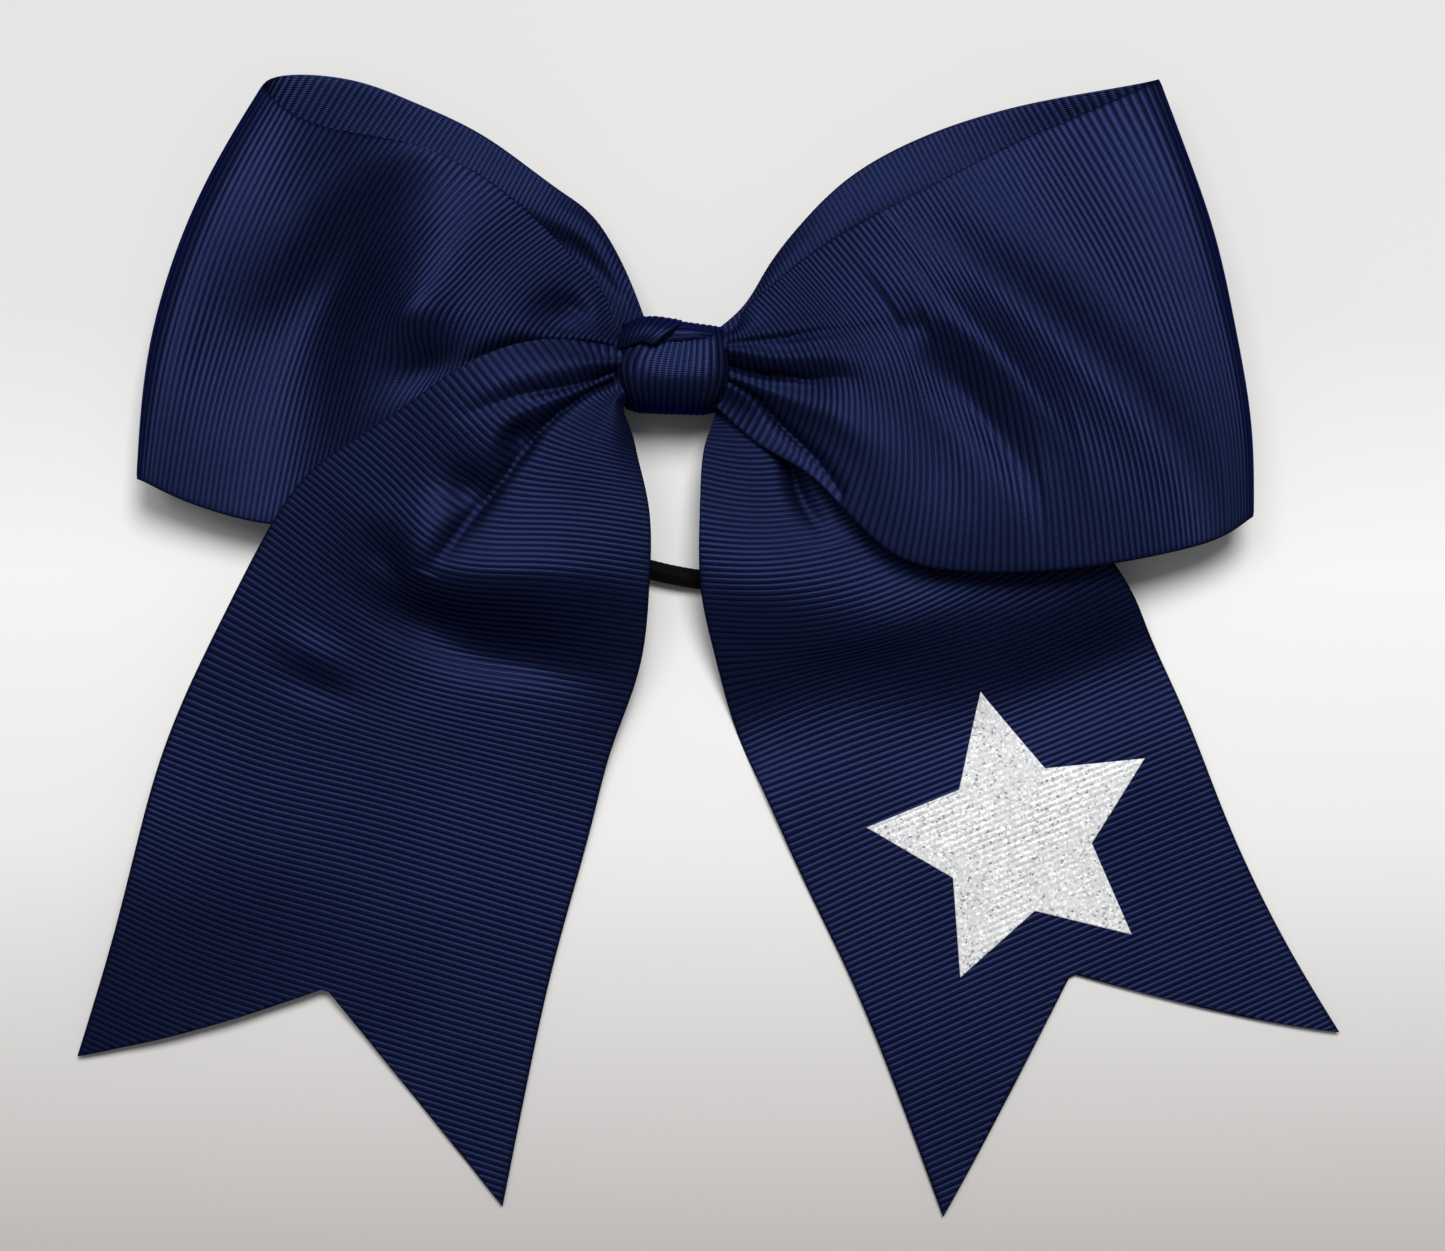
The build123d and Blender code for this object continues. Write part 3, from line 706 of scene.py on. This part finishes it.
def braided_tube(name, route, diameter, pitch=2.2, strands=10, sides=60, depth=0.09):
    """A cord along the route with the raised lozenges of a braid."""
    at = chord(route)
    steps = np.linspace(0, at[-1], int(at[-1] / 0.18))
    line = np.stack([np.interp(steps, at, route[:, k]) for k in range(3)], axis=1)
    ahead = np.gradient(line, axis=0)
    ahead /= np.linalg.norm(ahead, axis=1, keepdims=True)
    side = np.cross(ahead, [0, 0, 1.0])
    side /= np.linalg.norm(side, axis=1, keepdims=True)
    up = np.cross(side, ahead)
    turn = np.linspace(0, 2 * math.pi, sides, endpoint=False)
    wind = 2 * math.pi * steps[:, None] / pitch
    braid = np.sin(strands / 2 * turn + wind) * np.sin(strands / 2 * turn - wind)
    radius = (diameter / 2 - depth / 2 + depth / 2 * braid)[:, :, None]
    ring = np.cos(turn)[None, :, None] * side[:, None] + np.sin(turn)[None, :, None] * up[:, None]
    points = (line[:, None] + radius * ring).reshape(-1, 3)
    faces = []
    for i in range(len(line) - 1):
        for j in range(sides):
            k = (j + 1) % sides
            faces.append((i * sides + j, i * sides + k, (i + 1) * sides + k, (i + 1) * sides + j))
    faces.append(tuple(range(sides))[::-1])
    faces.append(tuple(range(len(points) - sides, len(points))))
    return mesh_object(name, points, faces, crest=np.clip(0.5 + 0.5 * braid.ravel(), 0, 1))


def star_film(ribbon, lift=0.06, ply=0.16, rings=70, rays=300):
    """The star of vinyl film, pressed onto the ribs of the ribbon under it, with a rounded cut edge."""
    tree = BVHTree.FromObject(ribbon, bpy.context.evaluated_depsgraph_get())
    corners = []
    turns = 2 * STAR_POINTS
    for k in range(turns):
        angle = math.radians(90 + STAR_TILT + 360 / turns * k)
        radius = STAR_RADIUS * (STAR_WAIST if k % 2 else 1)
        corners.append((radius * math.cos(angle), radius * math.sin(angle)))
    corners.append(corners[0])
    outline = np.array(corners)
    ray = np.linspace(0, turns, rays, endpoint=False)
    rim = np.stack([np.interp(ray, range(turns + 1), outline[:, k]) for k in range(2)], axis=1)
    flat = [np.array([STAR_CENTRE])] + [STAR_CENTRE + rim * t for t in np.linspace(0, 1, rings + 1)[1:]]
    flat = np.concatenate(flat)
    down = Vector((0, 0, -1))
    height = [tree.ray_cast(Vector((x * MM, y * MM, 0.05)), down)[0].z for x, y in flat]
    height = np.array(height) / MM
    upper = np.column_stack([flat, height + lift + ply])
    lower = np.column_stack([flat, height + lift])
    upper[-rays:, 2] -= ply * 0.35
    n = len(flat)
    faces = []
    for j in range(rays):
        k = (j + 1) % rays
        faces += [(0, 1 + j, 1 + k), (n, n + 1 + k, n + 1 + j)]
        for r in range(rings - 1):
            a, b = 1 + r * rays, 1 + (r + 1) * rays
            faces.append((a + j, b + j, b + k, a + k))
            faces.append((n + a + j, n + a + k, n + b + k, n + b + j))
        last = 1 + (rings - 1) * rays
        faces.append((last + j, n + last + j, n + last + k, last + k))
    return mesh_object("vinyl_star_film", np.concatenate([upper, lower]), faces)


def pleated_bunch():
    """The middle of the bow's ribbon, pleated flat inside the knot."""
    rows = []
    for x in (-8.4, -4, 0, 4, 8.4):
        rows.append([(x, y * (1 + 0.001 * x * x), z) for y, z in PLEATS])
    return ribbon_piece("ribbon_pleats", rows, columns=70)


bpy.context.scene.view_settings.view_transform = "Standard"
camera()
studio()
navy = grosgrain()
black = plain("black_elastic", (0.0008, 0.0009, 0.0014), (0.0026, 0.0026, 0.004), 0.75, 1800, 0.05)

right_loop = ribbon_piece("ribbon_right_loop", RIGHT_LOOP, RIGHT_LOOP_FOLDS)
left_loop = ribbon_piece("ribbon_left_loop", LEFT_LOOP, LEFT_LOOP_FOLDS)
left_tail = ribbon_piece("ribbon_left_tail", LEFT_TAIL, LEFT_TAIL_FOLDS, notch=LEFT_NOTCH)
right_tail = ribbon_piece("ribbon_right_tail", RIGHT_TAIL, RIGHT_TAIL_FOLDS, notch=RIGHT_NOTCH)
for piece in (right_loop, left_loop, left_tail, right_tail):
    paint(piece, navy)
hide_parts("right_loop_front", "right_loop_back")
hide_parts("left_loop_front", "left_loop_back")
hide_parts("left_tail")
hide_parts("right_tail_root", "right_tail")
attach(right_loop, "bow")
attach(left_loop, "bow")
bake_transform(left_tail)
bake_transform(right_tail)

route = elastic_route()
ring = braided_tube("hair_elastic_ring", route, ELASTIC_D)
paint(ring, black)
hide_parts("hair_elastic")
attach(ring, "elastic")

star = star_film(right_tail)
paint(star, glitter_vinyl())
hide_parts("vinyl_star")
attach(star, "right_tail")

band = ribbon_piece("knot_ribbon_band", KNOT_BAND, width=BAND_WIDTH, columns=44)
twist = ribbon_piece("knot_ribbon_twist", KNOT_TWIST, width=STRAND_WIDTH, columns=20)
under = ribbon_piece("knot_ribbon_under", KNOT_UNDER, width=STRAND_WIDTH, columns=20)
back = ribbon_piece("knot_ribbon_back", KNOT_BACK, width=BACK_WIDTH, columns=20)
pleats = pleated_bunch()
for piece, node, slot, flat in (
    (band, "knot_front_band", "knot_ribbon", (0.040, 0.020)),
    (twist, "knot_twist", "knot_ribbon", (0.0105, 0.0145)),
    (under, None, "knot_ribbon", (0.0101, 0.0106)),
    (back, "knot_back_wrap", "knot_ribbon", (0.0172, 0.017)),
    (pleats, "gathered_centre", "ribbon", (0.0762, 0.0168)),
):
    paint(piece, navy)
    if node:
        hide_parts(node)
    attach(piece, "bow")

paint(frame["nodes"]["cinch_thread"], plain("cotton_thread", (0.01, 0.012, 0.03), (0.02, 0.024, 0.06), 0.7))
paint(frame["nodes"]["knot_glue_seam"], plain("dried_glue", (0.32, 0.3, 0.26), (0.45, 0.43, 0.38), 0.4))
